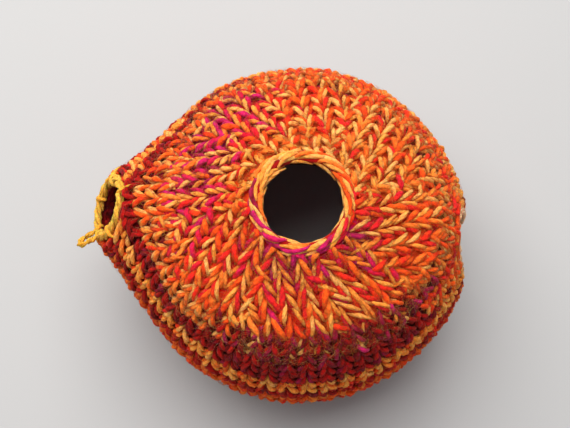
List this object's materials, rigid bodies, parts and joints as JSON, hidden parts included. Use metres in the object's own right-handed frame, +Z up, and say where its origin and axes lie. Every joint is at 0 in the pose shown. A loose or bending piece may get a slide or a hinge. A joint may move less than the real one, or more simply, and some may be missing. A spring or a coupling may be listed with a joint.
{
  "type": "tea cosy",
  "caption": "Hand-knitted tea cosy in orange, red and pink striped yarn, with a gathered crown hole, a drawn-out spout opening and a handle slit.",
  "frame": {"origin": "middle of the bounding box in plan, at the height of the surface that the hem stands on", "axes": "+Z up through the crown hole, -X towards the spout opening, +X towards the handle slit, +Y towards the back"},
  "size_m": [0.1732, 0.1502, 0.12],
  "materials": {
    "knit": "matte two-strand knit",
    "ring_yarn": "matte twisted yarn",
    "mustard_yarn": "matte yarn",
    "peach_yarn": "matte yarn"
  },
  "bodies": {
    "root": {"cosy_body": "knit", "knob_ring": "ring_yarn", "spout_edging": "mustard_yarn", "handle_edging": "peach_yarn"}
  },
  "joints": []
}
